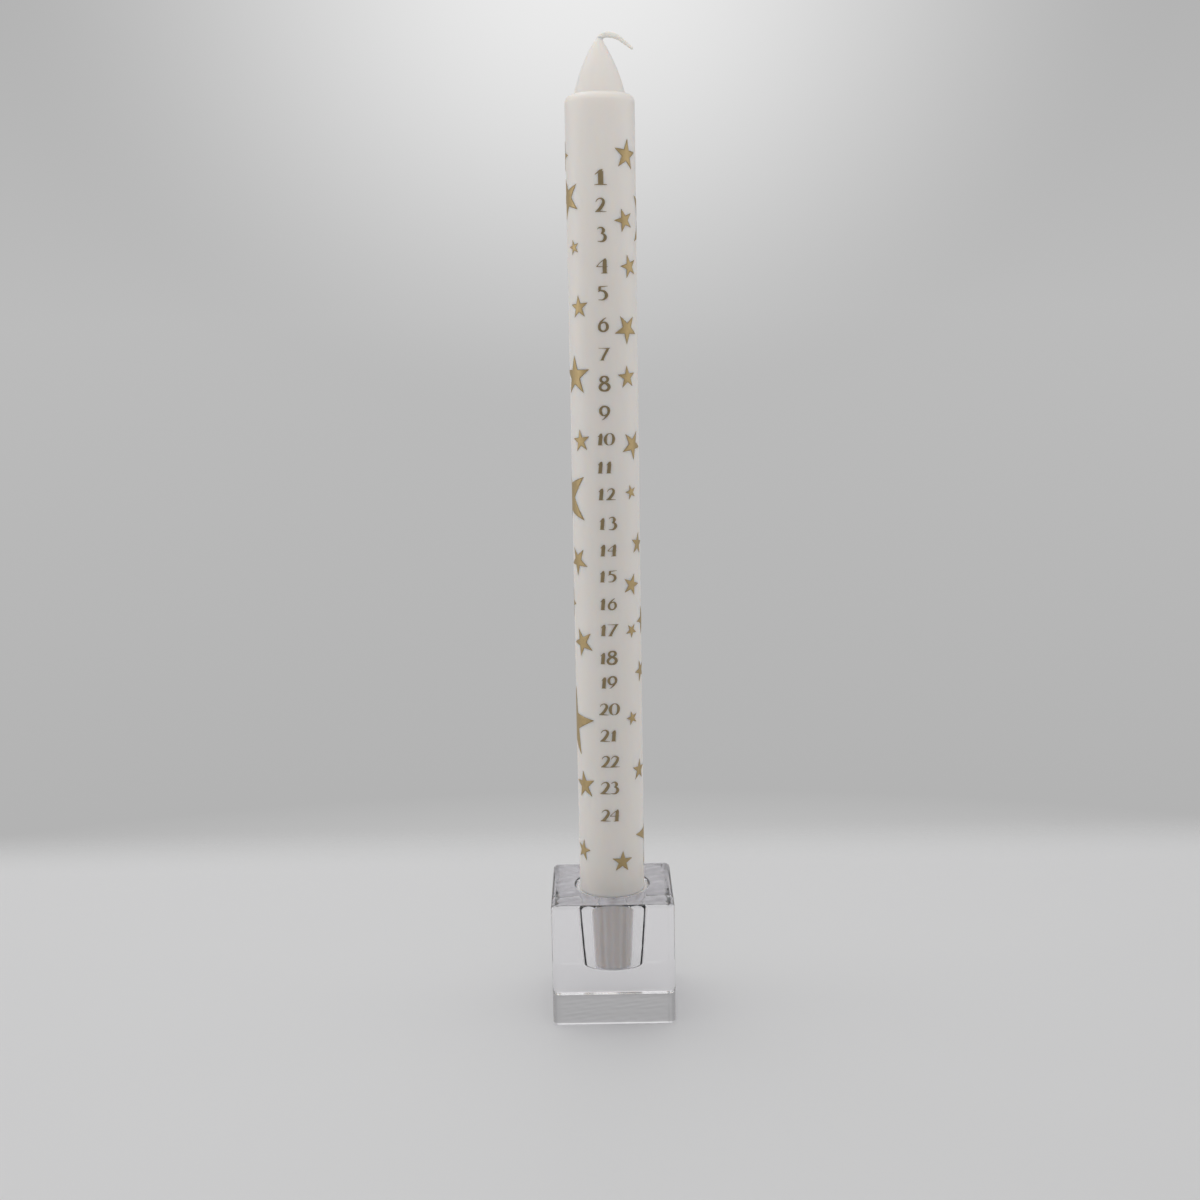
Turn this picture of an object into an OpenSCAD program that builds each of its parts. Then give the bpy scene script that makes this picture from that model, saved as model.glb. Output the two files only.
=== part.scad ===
// Calendar candle in its pressed glass block holder.
// Lengths are in millimetres. Z points up, the numbered side of the candle looks towards -Y,
// and the origin is at the middle of the holder's base.

/* [Candle] */
// Diameter of the finished candle
candle_d = 22; // [18:0.5:26]
// Length from the end of the foot to the tip of the wax
candle_length = 300; // [250:5:350]
// Thickness of the hard outer coat that the candle is dipped in
coat_t = 0.6; // [0.4:0.1:1]
// Gap between the soft core and the outer coat
coat_gap = 0.05; // [0.02:0.01:0.1]
// Radius of the rounded shoulder under the cone
shoulder_r = 2.6; // [1.5:0.1:3.5]
// Height of the cone above the shoulder
cone_h = 15.5; // [12:0.5:20]
// Diameter of the cone where it leaves the shoulder
cone_d = 16.2; // [14:0.1:17]
// Diameter of the wax at the tip, round the wick
tip_d = 3.4; // [3:0.1:4.4]
// Radius of the slight outward curve of the cone's side
cone_curve_r = 55; // [40:1:90]
// Depth of wax at the tip that is coat all through
tip_coat_t = 2; // [1.5:0.1:3]

/* [Foot] */
// Height of the tapered foot below the coat's edge
foot_h = 24.7; // [20:0.1:30]
// How far the top of the foot stands out past the coat
foot_collar = 1; // [0.6:0.1:1.5]
// How much the foot's radius shrinks from its top to its lower end
foot_taper = 2; // [1.4:0.1:2.6]
// Bevel round the lower end of the foot
foot_bevel = 0.8; // [0.4:0.1:1.2]
// Number of flutes round the foot
flute_count = 28; // [20:1:30]
// Diameter of the round cutter that makes one flute
flute_d = 2.4; // [1.8:0.1:2.6]
// Depth of a flute
flute_depth = 0.35; // [0.2:0.05:0.5]

/* [Wick] */
// Diameter of the waxed cotton wick
wick_d = 1.9; // [1.5:0.1:2.1]
// Diameter of the wick at its thin free end
wick_end_d = 1.4; // [1.2:0.1:1.5]
// Clearance all round the wick in the wax
wick_gap = 0.05; // [0.02:0.01:0.1]
// Height of the wick's lower end above the end of the foot
wick_recess = 0.5; // [0.2:0.1:2]
// Radius of the tight bend where the wick leaves the wax
bend_r = 2.4; // [1.8:0.1:4]
// Radius of the wider bend after it
droop_r = 7.5; // [5:0.5:12]
// Angle to which the free end droops
droop_angle = 38; // [20:1:60]
// Straight length at the wick's free end
end_l = 4.6; // [3:0.2:8]
// Swell of the hardened wax round each bend of the wick
wick_bead = 0.02; // [0.01:0.01:0.03]

/* [Holder] */
// Width and depth of the glass block
holder_w = 41; // [38:0.5:60]
// Height of the glass block
holder_h = 42; // [36:0.5:60]
// Radius of the block's upright edges
corner_r = 2; // [2:0.1:4]
// Radius of the block's level edges
edge_r = 1.2; // [0.6:0.1:1.8]
// Clearance between the candle's foot and the socket's wall
socket_gap = 0.3; // [0.2:0.05:0.6]
// Depth of the coat's edge below the top of the block
coat_sink = 0.8; // [0.2:0.1:2]
// Radius of the rounded lip of the socket
lip_r = 0.4; // [0.3:0.1:1.2]
// Radius in the corner of the socket's floor
socket_floor_r = 0.6; // [0.3:0.1:0.8]

/* [Print] */
// Height above the end of the foot from which the print is measured
print_start = 25.8; // [25:0.2:30]
// Thickness of the gold print
foil_t = 0.1; // [0.05:0.01:0.15]
// Gap between the coat and the back of the print
foil_gap = 0.02; // [0.01:0.01:0.03]
// Reach of a small star from its middle to a point
star_s_r = 2.5; // [2:0.1:2.8]
// Reach of a medium star
star_m_r = 3.8; // [3.2:0.1:4.2]
// Reach of a large star
star_l_r = 4.9; // [4.4:0.1:5.2]
// Reach of an extra large star
star_xl_r = 6.6; // [5.8:0.1:7]
// Reach of a giant star
star_giant_r = 12; // [9:0.5:12.5]
// Share of its reach at which a star's notches lie
star_notch_ratio = 0.38; // [0.34:0.01:0.5]

/* [Hidden] */

$fn = 64;

GLASS = [0.86, 0.87, 0.93, 0.45];
CORE_WAX = [0.94, 0.93, 0.88];
COAT_WAX = [0.93, 0.91, 0.88];
COTTON = [0.95, 0.94, 0.9];
GOLD = [0.69, 0.57, 0.33];

candle_r = candle_d / 2;
cone_r = cone_d / 2;
tip_r = tip_d / 2;
foot_top_r = candle_r + foot_collar;
foot_end_r = foot_top_r - foot_taper;
wick_r = wick_d / 2;
wick_end_r = wick_end_d / 2;
bore_r = wick_r + wick_gap;
flute_r = flute_d / 2;

// The foot's end stands on the socket's floor, and the coat's edge lies just inside the mouth.
socket_depth = foot_h + coat_sink;
floor_z = holder_h - socket_depth;
shoulder_h = candle_length - cone_h;
print_h = shoulder_h - shoulder_r - print_start;

// The foot's side leans out by this angle, and so does the socket's wall.
foot_lean = atan(foot_taper / foot_h);
wall_gap = socket_gap / cos(foot_lean);
socket_end_r = foot_end_r + wall_gap;
mouth_r = socket_end_r + socket_depth * tan(foot_lean);
lip_x = mouth_r - lip_r * tan(foot_lean) + lip_r / cos(foot_lean);
lip_z = holder_h - lip_r;

// A cut runs past the surface that it opens by this much.
past = 1;

// Each star is [height in percent of the print's, angle round the candle from the front, turn].
// Angles are in degrees. The front, between -30 and 30, is kept for the numbers.
STARS_SMALL = [
    [52.7, 47, -15], [35, 44, 36], [23.5, 43, -14], [82.8, -53, -15],
    [95.5, 112, 20], [91, 174, -10], [77.5, 104, 12], [66, 104, -30], [76, 254, 8], [62, 256, -20],
    [44, 226, 30], [26.5, 116, -8], [36, 152, 25], [13.5, 228, 16], [26, 206, 5]
];
STARS_MEDIUM = [
    [85.9, 40, -19], [80.4, 50, -16], [67, 42, -4], [46, 65, 9], [40.9, 46, 18],
    [29.4, 71, -18], [16.3, 61, 4], [4.4, 19, 4], [75.6, -44, -4], [59.2, -45, -7], [5.5, -59, 8],
    [95.8, 196, -10], [86.5, 212, 25], [72, 120, 10], [58.5, 110, -8], [50, 178, 20], [44.5, 128, 12],
    [31.5, 192, -22], [35.5, 240, 5], [15.5, 116, -25], [4.8, 203, -15]
];
STARS_LARGE = [
    [93.6, 46, 6], [72.9, 43, -34], [58.6, 53, 30], [36, 84, -18], [93.8, -92, 18],
    [44, -59, -35], [38.3, -94, 18], [33.5, -50, -25], [14.5, -52, -9],
    [80, 238, 18], [70.5, 162, 4], [53, 138, -28], [40.5, 180, 33], [11.5, 176, 30], [6, 244, 28]
];
STARS_EXTRA_LARGE = [
    [88.7, -71, -21], [67.2, -57, -2],
    [79, 180, 24], [70.5, 222, -14], [30, 142, -12], [20.5, 170, 14]
];
STARS_GIANT = [
    [86.2, 118, 18], [52, -90, -18], [22.6, -89, 8], [6.8, 109, -7],
    [61, 182, 6]
];

// A flat rectangle from the origin's left to right, standing on the X axis, with rounded corners.
module rounded_rectangle(width, height, radius) {
    translate([-width / 2 + radius, 0]) square([width - 2 * radius, height]);
    translate([-width / 2, radius]) square([width, height - 2 * radius]);
    for (side = [-1, 1], level = [radius, height - radius])
        translate([side * (width / 2 - radius), level]) circle(r = radius);
}

// The right half of a flat shape, which is what a turned solid is made from.
module right_half(reach) {
    intersection() {
        children();
        translate([0, -past]) square([reach, reach + 2 * past]);
    }
}

// A straight bar of the block, with its level edges rounded and its ends flat.
module block_bar() {
    length = holder_w - 2 * corner_r;
    translate([0, length / 2, 0])
        rotate([90, 0, 0])
        linear_extrude(height = length)
        rounded_rectangle(holder_w, holder_h, edge_r);
}

// The solid block, before the socket is pressed into it.
module block() {
    block_bar();
    rotate([0, 0, 90]) block_bar();
    for (x = [-1, 1], y = [-1, 1])
        translate([x * (holder_w / 2 - corner_r), y * (holder_w / 2 - corner_r), 0])
            rotate_extrude()
            right_half(holder_h)
            rounded_rectangle(2 * corner_r, holder_h, edge_r);
}

// Half of the socket's section: a tapered hole with a rounded lip and a rounded floor corner.
module socket_section() {
    wall_touch = [lip_x - lip_r * cos(foot_lean), lip_z + lip_r * sin(foot_lean)];
    floor_x = socket_end_r - socket_floor_r;
    polygon([
        [0, floor_z],
        [floor_x, floor_z],
        [socket_end_r + socket_floor_r * tan(foot_lean), floor_z + socket_floor_r],
        wall_touch,
        [mouth_r, holder_h],
        [mouth_r, holder_h + past],
        [0, holder_h + past]
    ]);
    difference() {
        polygon([wall_touch, [lip_x, lip_z], [lip_x, holder_h + past], [mouth_r, holder_h + past]]);
        translate([lip_x, lip_z]) circle(r = lip_r);
    }
    intersection() {
        translate([floor_x, floor_z + socket_floor_r]) circle(r = socket_floor_r);
        translate([floor_x, floor_z]) square(socket_floor_r);
    }
}

module glass_holder() {
    color(GLASS)
    difference() {
        block();
        rotate_extrude() socket_section();
    }
}

// Section of the candle above its foot, taken in by an inset, and cut off below the wax tip by cap.
module candle_section(inset, cap) {
    low = [cone_r, shoulder_h];
    high = [tip_r, candle_length];
    span = norm(high - low);
    inward = [low[1] - high[1], high[0] - low[0]] / span;
    middle = (low + high) / 2 + inward * sqrt(cone_curve_r * cone_curve_r - span * span / 4);
    shoulder_x = candle_r - shoulder_r;
    shoulder_low = shoulder_h - shoulder_r;
    translate([0, foot_h]) square([candle_r - inset, shoulder_low - foot_h]);
    translate([0, foot_h]) square([shoulder_x, shoulder_h - inset - foot_h]);
    translate([shoulder_x, shoulder_low]) circle(r = shoulder_r - inset);
    intersection() {
        translate([0, shoulder_low]) square([candle_r, candle_length - cap - shoulder_low]);
        translate(middle) circle(r = cone_curve_r - inset, $fn = 4 * $fn);
    }
}

// One flute: a slanted round cutter along the foot's side, open at both ends.
module flute_cutter() {
    out = flute_r - flute_depth;
    translate([foot_end_r + out / cos(foot_lean), 0, 0])
        rotate([0, foot_lean, 0])
        translate([0, 0, -past])
        cylinder(r = flute_r, h = foot_h / cos(foot_lean) + 2 * past, $fn = 32);
}

// The wick's hole, from end to end.
module wick_bore() {
    translate([0, 0, -past]) cylinder(r = bore_r, h = candle_length + 2 * past);
}

module wax_core() {
    color(CORE_WAX)
    translate([0, 0, floor_z])
    difference() {
        rotate_extrude() {
            right_half(candle_length) candle_section(coat_t + coat_gap, tip_coat_t);
            polygon([
                [0, 0],
                [foot_end_r - foot_bevel, 0],
                [foot_end_r + foot_bevel * tan(foot_lean), foot_bevel],
                [foot_top_r, foot_h],
                [0, foot_h]
            ]);
        }
        wick_bore();
        for (i = [0:flute_count - 1])
            rotate([0, 0, (i + 0.5) * 360 / flute_count]) flute_cutter();
    }
}

module dip_coat() {
    color(COAT_WAX)
    translate([0, 0, floor_z])
    difference() {
        rotate_extrude() right_half(candle_length) candle_section(0, 0);
        rotate_extrude() right_half(candle_length) {
            candle_section(coat_t, tip_coat_t);
            square([candle_r - coat_t, foot_h + past]);
        }
        wick_bore();
    }
}

// A length of bent wick, which starts upright at the origin and bends towards +X.
module wick_bend(radius, turn) {
    translate([radius, 0, 0])
        rotate([90, 0, 0])
        rotate([0, 0, 180 - turn])
        rotate_extrude(angle = turn)
        translate([radius, 0]) circle(r = wick_r);
}

// The ring of wax where one length of wick runs into the next.
module wick_knuckle() {
    sphere(r = wick_r + wick_bead);
}

// The wick above the wax: a tight bend, a wider one and the thin free end.
module wick_tail() {
    wick_knuckle();
    wick_bend(bend_r, 90);
    translate([bend_r, 0, bend_r]) rotate([0, 90, 0]) {
        wick_knuckle();
        wick_bend(droop_r, droop_angle);
        translate([droop_r * (1 - cos(droop_angle)), 0, droop_r * sin(droop_angle)])
            rotate([0, droop_angle, 0]) {
                wick_knuckle();
                cylinder(r1 = wick_r, r2 = wick_end_r, h = end_l);
                translate([0, 0, end_l]) sphere(r = wick_end_r + wick_bead);
            }
    }
}

module wick() {
    color(COTTON)
    translate([0, 0, floor_z]) {
        translate([0, 0, wick_recess]) cylinder(r = wick_r, h = candle_length - wick_recess);
        translate([0, 0, candle_length]) wick_tail();
    }
}

// Corner k of a flat five-pointed star with one point up: points at even k, notches at odd k.
function star_corner(reach, k, turn) =
    (k % 2 == 0 ? 1 : star_notch_ratio) * reach * [sin(36 * k + turn), cos(36 * k + turn)];

// A flat point as it looks from straight ahead once the sheet is wrapped round the candle.
function wrapped(p) = [candle_r * sin(p[0] / candle_r * 180 / PI), p[1]];

// Outline of a wrapped star. Each edge has as many steps as its bend needs.
function star_outline(reach, turn) =
    let (steps = ceil(reach / 3.5))
    [for (k = [0:9], i = [0:steps - 1])
        let (a = star_corner(reach, k, turn), b = star_corner(reach, k + 1, turn))
        wrapped(a + (b - a) * i / steps)];

// Stars of one size, as thin pieces of the print's tube.
module stars(places, reach) {
    color(GOLD)
    translate([0, 0, floor_z + print_start])
    for (place = places)
        translate([0, 0, print_h * place[0] / 100])
        rotate([0, 0, place[1]])
        intersection() {
            rotate([90, 0, 0])
                linear_extrude(height = candle_r + foil_t + past)
                polygon(star_outline(reach, place[2]));
            difference() {
                translate([0, 0, -reach - past])
                    cylinder(r = candle_r + foil_gap + foil_t, h = 2 * (reach + past));
                translate([0, 0, -reach - 2 * past])
                    cylinder(r = candle_r + foil_gap, h = 2 * (reach + 2 * past));
            }
        }
}

module stars_small() {
    stars(STARS_SMALL, star_s_r);
}

module stars_medium() {
    stars(STARS_MEDIUM, star_m_r);
}

module stars_large() {
    stars(STARS_LARGE, star_l_r);
}

module stars_extra_large() {
    stars(STARS_EXTRA_LARGE, star_xl_r);
}

module stars_giant() {
    stars(STARS_GIANT, star_giant_r);
}

glass_holder();
wax_core();
dip_coat();
wick();
stars_small();
stars_medium();
stars_large();
stars_extra_large();
stars_giant();
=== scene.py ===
"""Looks of a calendar candle that stands in its pressed glass block.

Lengths in the classes are in millimetres, and MM turns them into metres. The frame is the CAD model's: Z
runs up the candle from the table, and the numbered side looks towards -Y.
"""

import logging
from dataclasses import dataclass, field
from enum import Enum

import bpy
import numpy as np
from mathutils import Matrix


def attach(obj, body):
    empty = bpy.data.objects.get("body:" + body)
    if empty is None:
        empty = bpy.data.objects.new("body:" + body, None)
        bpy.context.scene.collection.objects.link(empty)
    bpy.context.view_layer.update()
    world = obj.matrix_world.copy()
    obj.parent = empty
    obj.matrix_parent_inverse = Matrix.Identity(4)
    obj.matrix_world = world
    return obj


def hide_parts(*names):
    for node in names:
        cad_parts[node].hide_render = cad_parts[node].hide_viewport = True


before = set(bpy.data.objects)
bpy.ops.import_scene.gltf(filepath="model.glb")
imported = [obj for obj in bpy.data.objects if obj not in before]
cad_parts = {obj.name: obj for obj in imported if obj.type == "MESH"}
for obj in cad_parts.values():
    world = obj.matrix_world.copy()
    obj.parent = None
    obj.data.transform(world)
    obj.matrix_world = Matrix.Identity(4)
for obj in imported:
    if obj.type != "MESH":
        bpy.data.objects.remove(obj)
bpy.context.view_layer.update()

MM = 0.001
Array = np.ndarray
Piece = bpy.types.Object
Material = bpy.types.Material
Socket = bpy.types.NodeSocket
Tree = bpy.types.NodeTree
log = logging.getLogger("calendar_candle")


# Shapes shared by the pieces


def arc(centre: tuple[float, float], radius: float, start: float, end: float, count: int) -> Array:
    """Points along a flat arc: centre plus radius times (cosine, sine) of an evenly growing angle.

    Args:
        centre: Middle of the arc.
        radius: Its radius.
        start: First angle in degrees.
        end: Last angle in degrees.
        count: Number of points.

    Returns:
        The points, one row each.
    """
    angle = np.radians(np.linspace(start, end, count))
    return np.stack([centre[0] + radius * np.cos(angle), centre[1] + radius * np.sin(angle)], axis=-1)


def line(start: tuple[float, float], end: tuple[float, float], count: int) -> Array:
    """Points spread evenly along a straight line: start plus a share from 0 to 1 of the way to end."""
    share = np.linspace(0.0, 1.0, count)[:, None]
    return np.asarray(start, float) + share * (np.asarray(end, float) - np.asarray(start, float))


def smooth_step(low: float, high: float, value: Array) -> Array:
    """0 below low, 1 above high, and between them 3 t squared less 2 t cubed, with t the share of the way."""
    share = np.clip((value - low) / (high - low), 0.0, 1.0)
    return share * share * (3.0 - 2.0 * share)


def sines(*angles: Array) -> Array:
    """The mean of the angles' sines, halved and raised so that it runs from 0 to 1."""
    return 0.5 + sum(np.sin(angle) for angle in angles) / (2 * len(angles))


def smooth_path(knots: Array, per_span: int) -> Array:
    """A smooth curve through knots of any number of values.

    Each span is the Catmull-Rom cubic of its two knots and their neighbours, so the curve passes through
    every knot and its slope there is half the way from the knot before to the knot after.

    Args:
        knots: One row for each knot.
        per_span: Number of points for each span.

    Returns:
        The curve's points, the last knot included.
    """
    padded = np.vstack([2 * knots[0] - knots[1], knots, 2 * knots[-1] - knots[-2]])
    before, here, there, after = padded[:-3, None], padded[1:-2, None], padded[2:-1, None], padded[3:, None]
    share = np.linspace(0.0, 1.0, per_span, endpoint=False)[None, :, None]
    curve = 0.5 * (
        2 * here
        + (there - before) * share
        + (2 * before - 5 * here + 4 * there - after) * share**2
        + (3 * here - before - 3 * there + after) * share**3
    )
    return np.vstack([curve.reshape(-1, knots.shape[1]), knots[-1]])


def new_piece(name: str, vertices: Array, faces: list, finish: Material) -> Piece:
    """A smooth-shaded mesh object at the origin.

    Args:
        name: The piece's name.
        vertices: Points in millimetres, one row each.
        faces: Lists of vertex numbers.
        finish: The piece's material.

    Returns:
        The object, linked to the scene.
    """
    mesh = bpy.data.meshes.new(name)
    mesh.from_pydata((vertices * MM).tolist(), [], faces)
    mesh.polygons.foreach_set("use_smooth", np.ones(len(mesh.polygons), bool))
    mesh.update()
    mesh.materials.append(finish)
    piece = bpy.data.objects.new(name, mesh)
    bpy.context.scene.collection.objects.link(piece)
    return piece


def closed_shell(rings: Array, first: Array, last: Array, start: int = 0) -> tuple[Array, list]:
    """Joins rings of points into a closed surface.

    Point (i, j) is joined to (i, j + 1), (i + 1, j + 1) and (i + 1, j), with j closed round the ring. Faces
    look outwards where the rings run anticlockwise round the way that they follow.

    Args:
        rings: Grid of points, rings by places by three.
        first: The point that closes the first ring.
        last: The point that closes the last ring.
        start: Number of the first vertex, where shells share a mesh.

    Returns:
        The vertices and the faces.
    """
    count, around = rings.shape[:2]
    i, j = np.meshgrid(np.arange(count - 1), np.arange(around), indexing="ij")
    near, far = i * around + j, i * around + (j + 1) % around
    quads = np.stack([near, far, far + around, near + around], axis=-1).reshape(-1, 4) + start
    place = np.arange(around)
    after = (place + 1) % around
    bottom = np.stack([np.full(around, count * around), after, place], axis=-1) + start
    high = (count - 1) * around
    top = np.stack([place + high, after + high, np.full(around, count * around + 1)], axis=-1) + start
    vertices = np.vstack([rings.reshape(-1, 3), np.reshape(first, (1, 3)), np.reshape(last, (1, 3))])
    return vertices, quads.tolist() + bottom.tolist() + top.tolist()


def turned(profile: Array, around: int) -> Array:
    """Rings of a turned form: each profile point goes round Z at evenly spaced angles.

    Args:
        profile: Points as radius and height.
        around: Number of places round a ring.

    Returns:
        The grid of points.
    """
    angle = np.linspace(0.0, 2 * np.pi, around, endpoint=False)
    radius, height = profile[:, :1], profile[:, 1:]
    return np.stack([radius * np.cos(angle), radius * np.sin(angle), height + 0 * angle], axis=-1)


# Finishes


class Nodes:
    """A node tree, with short calls for adding and joining its nodes."""

    def __init__(self, tree: Tree) -> None:
        """Takes a tree and empties it."""
        self.tree = tree
        self.tree.nodes.clear()

    def feed(self, target: Socket, given: object) -> None:
        """Links an input to another node's socket, or sets it to a value.

        Args:
            target: The input.
            given: The socket or the value.
        """
        if isinstance(given, Socket):
            self.tree.links.new(given, target)
        else:
            target.default_value = given

    def node(self, kind: str, inputs: dict | None = None, **settings: object) -> bpy.types.Node:
        """Adds a node.

        Args:
            kind: Its type.
            inputs: What its inputs get, a value or a socket, by the input's name or number.
            settings: Its properties.

        Returns:
            The node.
        """
        made = self.tree.nodes.new(kind)
        for key, value in settings.items():
            setattr(made, key, value)
        for key, given in (inputs or {}).items():
            self.feed(made.inputs[key], given)
        return made

    def remap(self, value: Socket, *spans: float, smooth: bool = True) -> Socket:
        """Turns a value into another.

        Args:
            value: The socket that holds it.
            spans: Its two ends, and what it becomes at each.
            smooth: Whether it runs along an S between the ends, and not along a straight line.

        Returns:
            The socket that holds the result.
        """
        names = ("Value", "From Min", "From Max", "To Min", "To Max")
        inputs = dict(zip(names, (value, *spans)))
        way = "SMOOTHSTEP" if smooth else "LINEAR"
        return self.node("ShaderNodeMapRange", inputs, interpolation_type=way).outputs[0]

    def mix(self, share: object, first: object, second: object, way: str = "MIX") -> Socket:
        """Blends a second colour into a first by a share from 0 to 1."""
        inputs = {"Factor": share, "A": first, "B": second}
        return self.node("ShaderNodeMix", inputs, data_type="RGBA", blend_type=way).outputs["Result"]


class Finish(Nodes):
    """A new material's node tree, with its main shader and its output."""

    def __init__(self, name: str, inputs: dict) -> None:
        """Starts the material.

        Args:
            name: The material's name.
            inputs: What the main shader's inputs get.
        """
        self.material = bpy.data.materials.new(name)
        self.material.use_nodes = True
        super().__init__(self.material.node_tree)
        self.shader = self.node("ShaderNodeBsdfPrincipled", inputs)
        self.output = self.node("ShaderNodeOutputMaterial", {0: self.shader.outputs[0]})


def speckle_effect() -> Tree:
    """The shared effect that gives a finish its cloudy tone and its fine relief.

    Tone is the light colour mixed towards the dark one by the share of a slow noise, and grain is a quick
    noise.

    Returns:
        The node group.
    """
    effect = Nodes(bpy.data.node_groups.new("cloud_and_grain", "ShaderNodeTree"))
    sockets = effect.tree.interface
    for name in ("Light", "Dark"):
        sockets.new_socket(name, in_out="INPUT", socket_type="NodeSocketColor")
    for name in ("Cloud Scale", "Grain Scale", "Share", "Stretch"):
        sockets.new_socket(name, in_out="INPUT", socket_type="NodeSocketFloat")
    sockets.new_socket("Tone", in_out="OUTPUT", socket_type="NodeSocketColor")
    sockets.new_socket("Grain", in_out="OUTPUT", socket_type="NodeSocketFloat")
    given = effect.node("NodeGroupInput").outputs
    place = effect.node("ShaderNodeTexCoord").outputs["Object"]
    stretch = effect.node("ShaderNodeCombineXYZ", {0: 1.0, 1: 1.0, 2: given["Stretch"]}).outputs[0]
    drawn = effect.node("ShaderNodeVectorMath", {0: place, 1: stretch}, operation="MULTIPLY").outputs[0]
    slow = {"Vector": drawn, "Scale": given["Cloud Scale"], "Detail": 3.0}
    quick = {"Vector": place, "Scale": given["Grain Scale"], "Detail": 2.0}
    cloud, grain = (effect.node("ShaderNodeTexNoise", inputs).outputs[0] for inputs in (slow, quick))
    share = effect.node("ShaderNodeMath", {0: cloud, 1: given["Share"]}, operation="MULTIPLY").outputs[0]
    tone = effect.mix(share, given["Light"], given["Dark"])
    effect.node("NodeGroupOutput", {"Tone": tone, "Grain": grain})
    return effect.tree


@dataclass(frozen=True)
class CloudedFinish:
    """What the finishes with a cloudy tone and a grainy relief share.

    The tone runs from light towards dark by up to the share. Cloud and grain count waves to the metre, a
    stretch under 1 draws the cloud out along Z, relief is the grain's depth in millimetres, and the grain
    changes the roughness by up to the rough span.
    """

    name: str
    light: tuple
    dark: tuple
    cloud: float
    grain: float
    share: float
    stretch: float
    relief: float
    roughness: float
    rough_span: float = 0.0

    def main_inputs(self) -> dict:
        """What the main shader's inputs are set to, over and above the tone, the relief and the roughness."""
        return {}

    def build(self, speckle: Tree) -> Material:
        """Makes the material.

        Args:
            speckle: The shared cloud and grain effect.

        Returns:
            The material.
        """
        made = Finish(self.name, {"Roughness": self.roughness} | self.main_inputs())
        effect = made.node("ShaderNodeGroup", {
            "Light": self.light, "Dark": self.dark, "Cloud Scale": self.cloud, "Grain Scale": self.grain,
            "Share": self.share, "Stretch": self.stretch,
        }, node_tree=speckle)
        grain = effect.outputs["Grain"]
        bump = made.node("ShaderNodeBump", {"Distance": self.relief * MM, "Strength": 1.0, "Height": grain})
        made.feed(made.shader.inputs["Base Color"], effect.outputs["Tone"])
        made.feed(made.shader.inputs["Normal"], bump.outputs["Normal"])
        if self.rough_span:
            low, high = self.roughness - self.rough_span, self.roughness + self.rough_span
            made.feed(made.shader.inputs["Roughness"], made.remap(grain, 0.0, 1.0, low, high, smooth=False))
        return made.material


@dataclass(frozen=True)
class WaxFinish(CloudedFinish):
    """Candle wax: light goes a few millimetres into it, and its skin has a soft sheen."""

    light: tuple = (0.86, 0.825, 0.79, 1.0)
    dark: tuple = (0.82, 0.78, 0.735, 1.0)
    cloud: float = 60.0
    grain: float = 900.0
    share: float = 1.0
    stretch: float = 0.35
    relief: float = 0.01
    roughness: float = 0.42
    weight: float = 1.0
    depth: float = 2.5
    reach: tuple = (1.0, 0.85, 0.7)
    index: float = 1.43

    def main_inputs(self) -> dict:
        """How far light goes in, and how the skin bends it.

        Returns:
            The inputs and their values.
        """
        return {
            "Subsurface Weight": self.weight, "Subsurface Radius": self.reach,
            "Subsurface Scale": self.depth * MM, "IOR": self.index,
        }


@dataclass(frozen=True)
class CottonFinish(WaxFinish):
    """Braided cotton set hard with wax."""

    light: tuple = (0.92, 0.90, 0.86, 1.0)
    dark: tuple = (0.78, 0.74, 0.66, 1.0)
    cloud: float = 1500.0
    grain: float = 6000.0
    share: float = 0.6
    stretch: float = 0.3
    relief: float = 0.04
    roughness: float = 0.5
    weight: float = 0.8
    depth: float = 0.5
    reach: tuple = (1.0, 0.9, 0.8)
    index: float = 1.5


@dataclass(frozen=True)
class InkFinish(CloudedFinish):
    """Gold coloured metallic ink, dull and slightly grainy."""

    light: tuple = (0.57, 0.43, 0.22, 1.0)
    dark: tuple = (0.39, 0.285, 0.14, 1.0)
    cloud: float = 700.0
    grain: float = 5000.0
    share: float = 0.9
    stretch: float = 1.0
    relief: float = 0.01
    roughness: float = 0.45
    rough_span: float = 0.1

    def main_inputs(self) -> dict:
        """How far the ink is metal."""
        return {"Metallic": 0.75}


@dataclass(frozen=True)
class FineInkFinish(InkFinish):
    """The ink of the numbers, whose fine strokes read darker than the stars."""

    light: tuple = (0.41, 0.32, 0.18, 1.0)
    dark: tuple = (0.27, 0.205, 0.11, 1.0)


@dataclass(frozen=True)
class GlassFinish:
    """Clear pressed glass with a faint cool tint. Lamps shine through it."""

    name: str
    tint: tuple = (0.99, 0.982, 1.0, 1.0)
    shade: tuple = (0.85, 0.84, 0.87, 1.0)
    index: float = 1.52
    roughness: float = 0.0

    def build(self) -> Material:
        """Makes the material: a clear shader, with plain see-through for the rays from lamps.

        Returns:
            The material.
        """
        made = Finish(self.name, {
            "Base Color": self.tint, "Transmission Weight": 1.0,
            "IOR": self.index, "Roughness": self.roughness,
        })
        clear = made.node("ShaderNodeBsdfTransparent", {"Color": self.shade})
        shadow = made.node("ShaderNodeLightPath").outputs["Is Shadow Ray"]
        both = made.node("ShaderNodeMixShader", {0: shadow, 1: made.shader.outputs[0], 2: clear.outputs[0]})
        made.feed(made.output.inputs[0], both.outputs[0])
        return made.material


# The glass block


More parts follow.
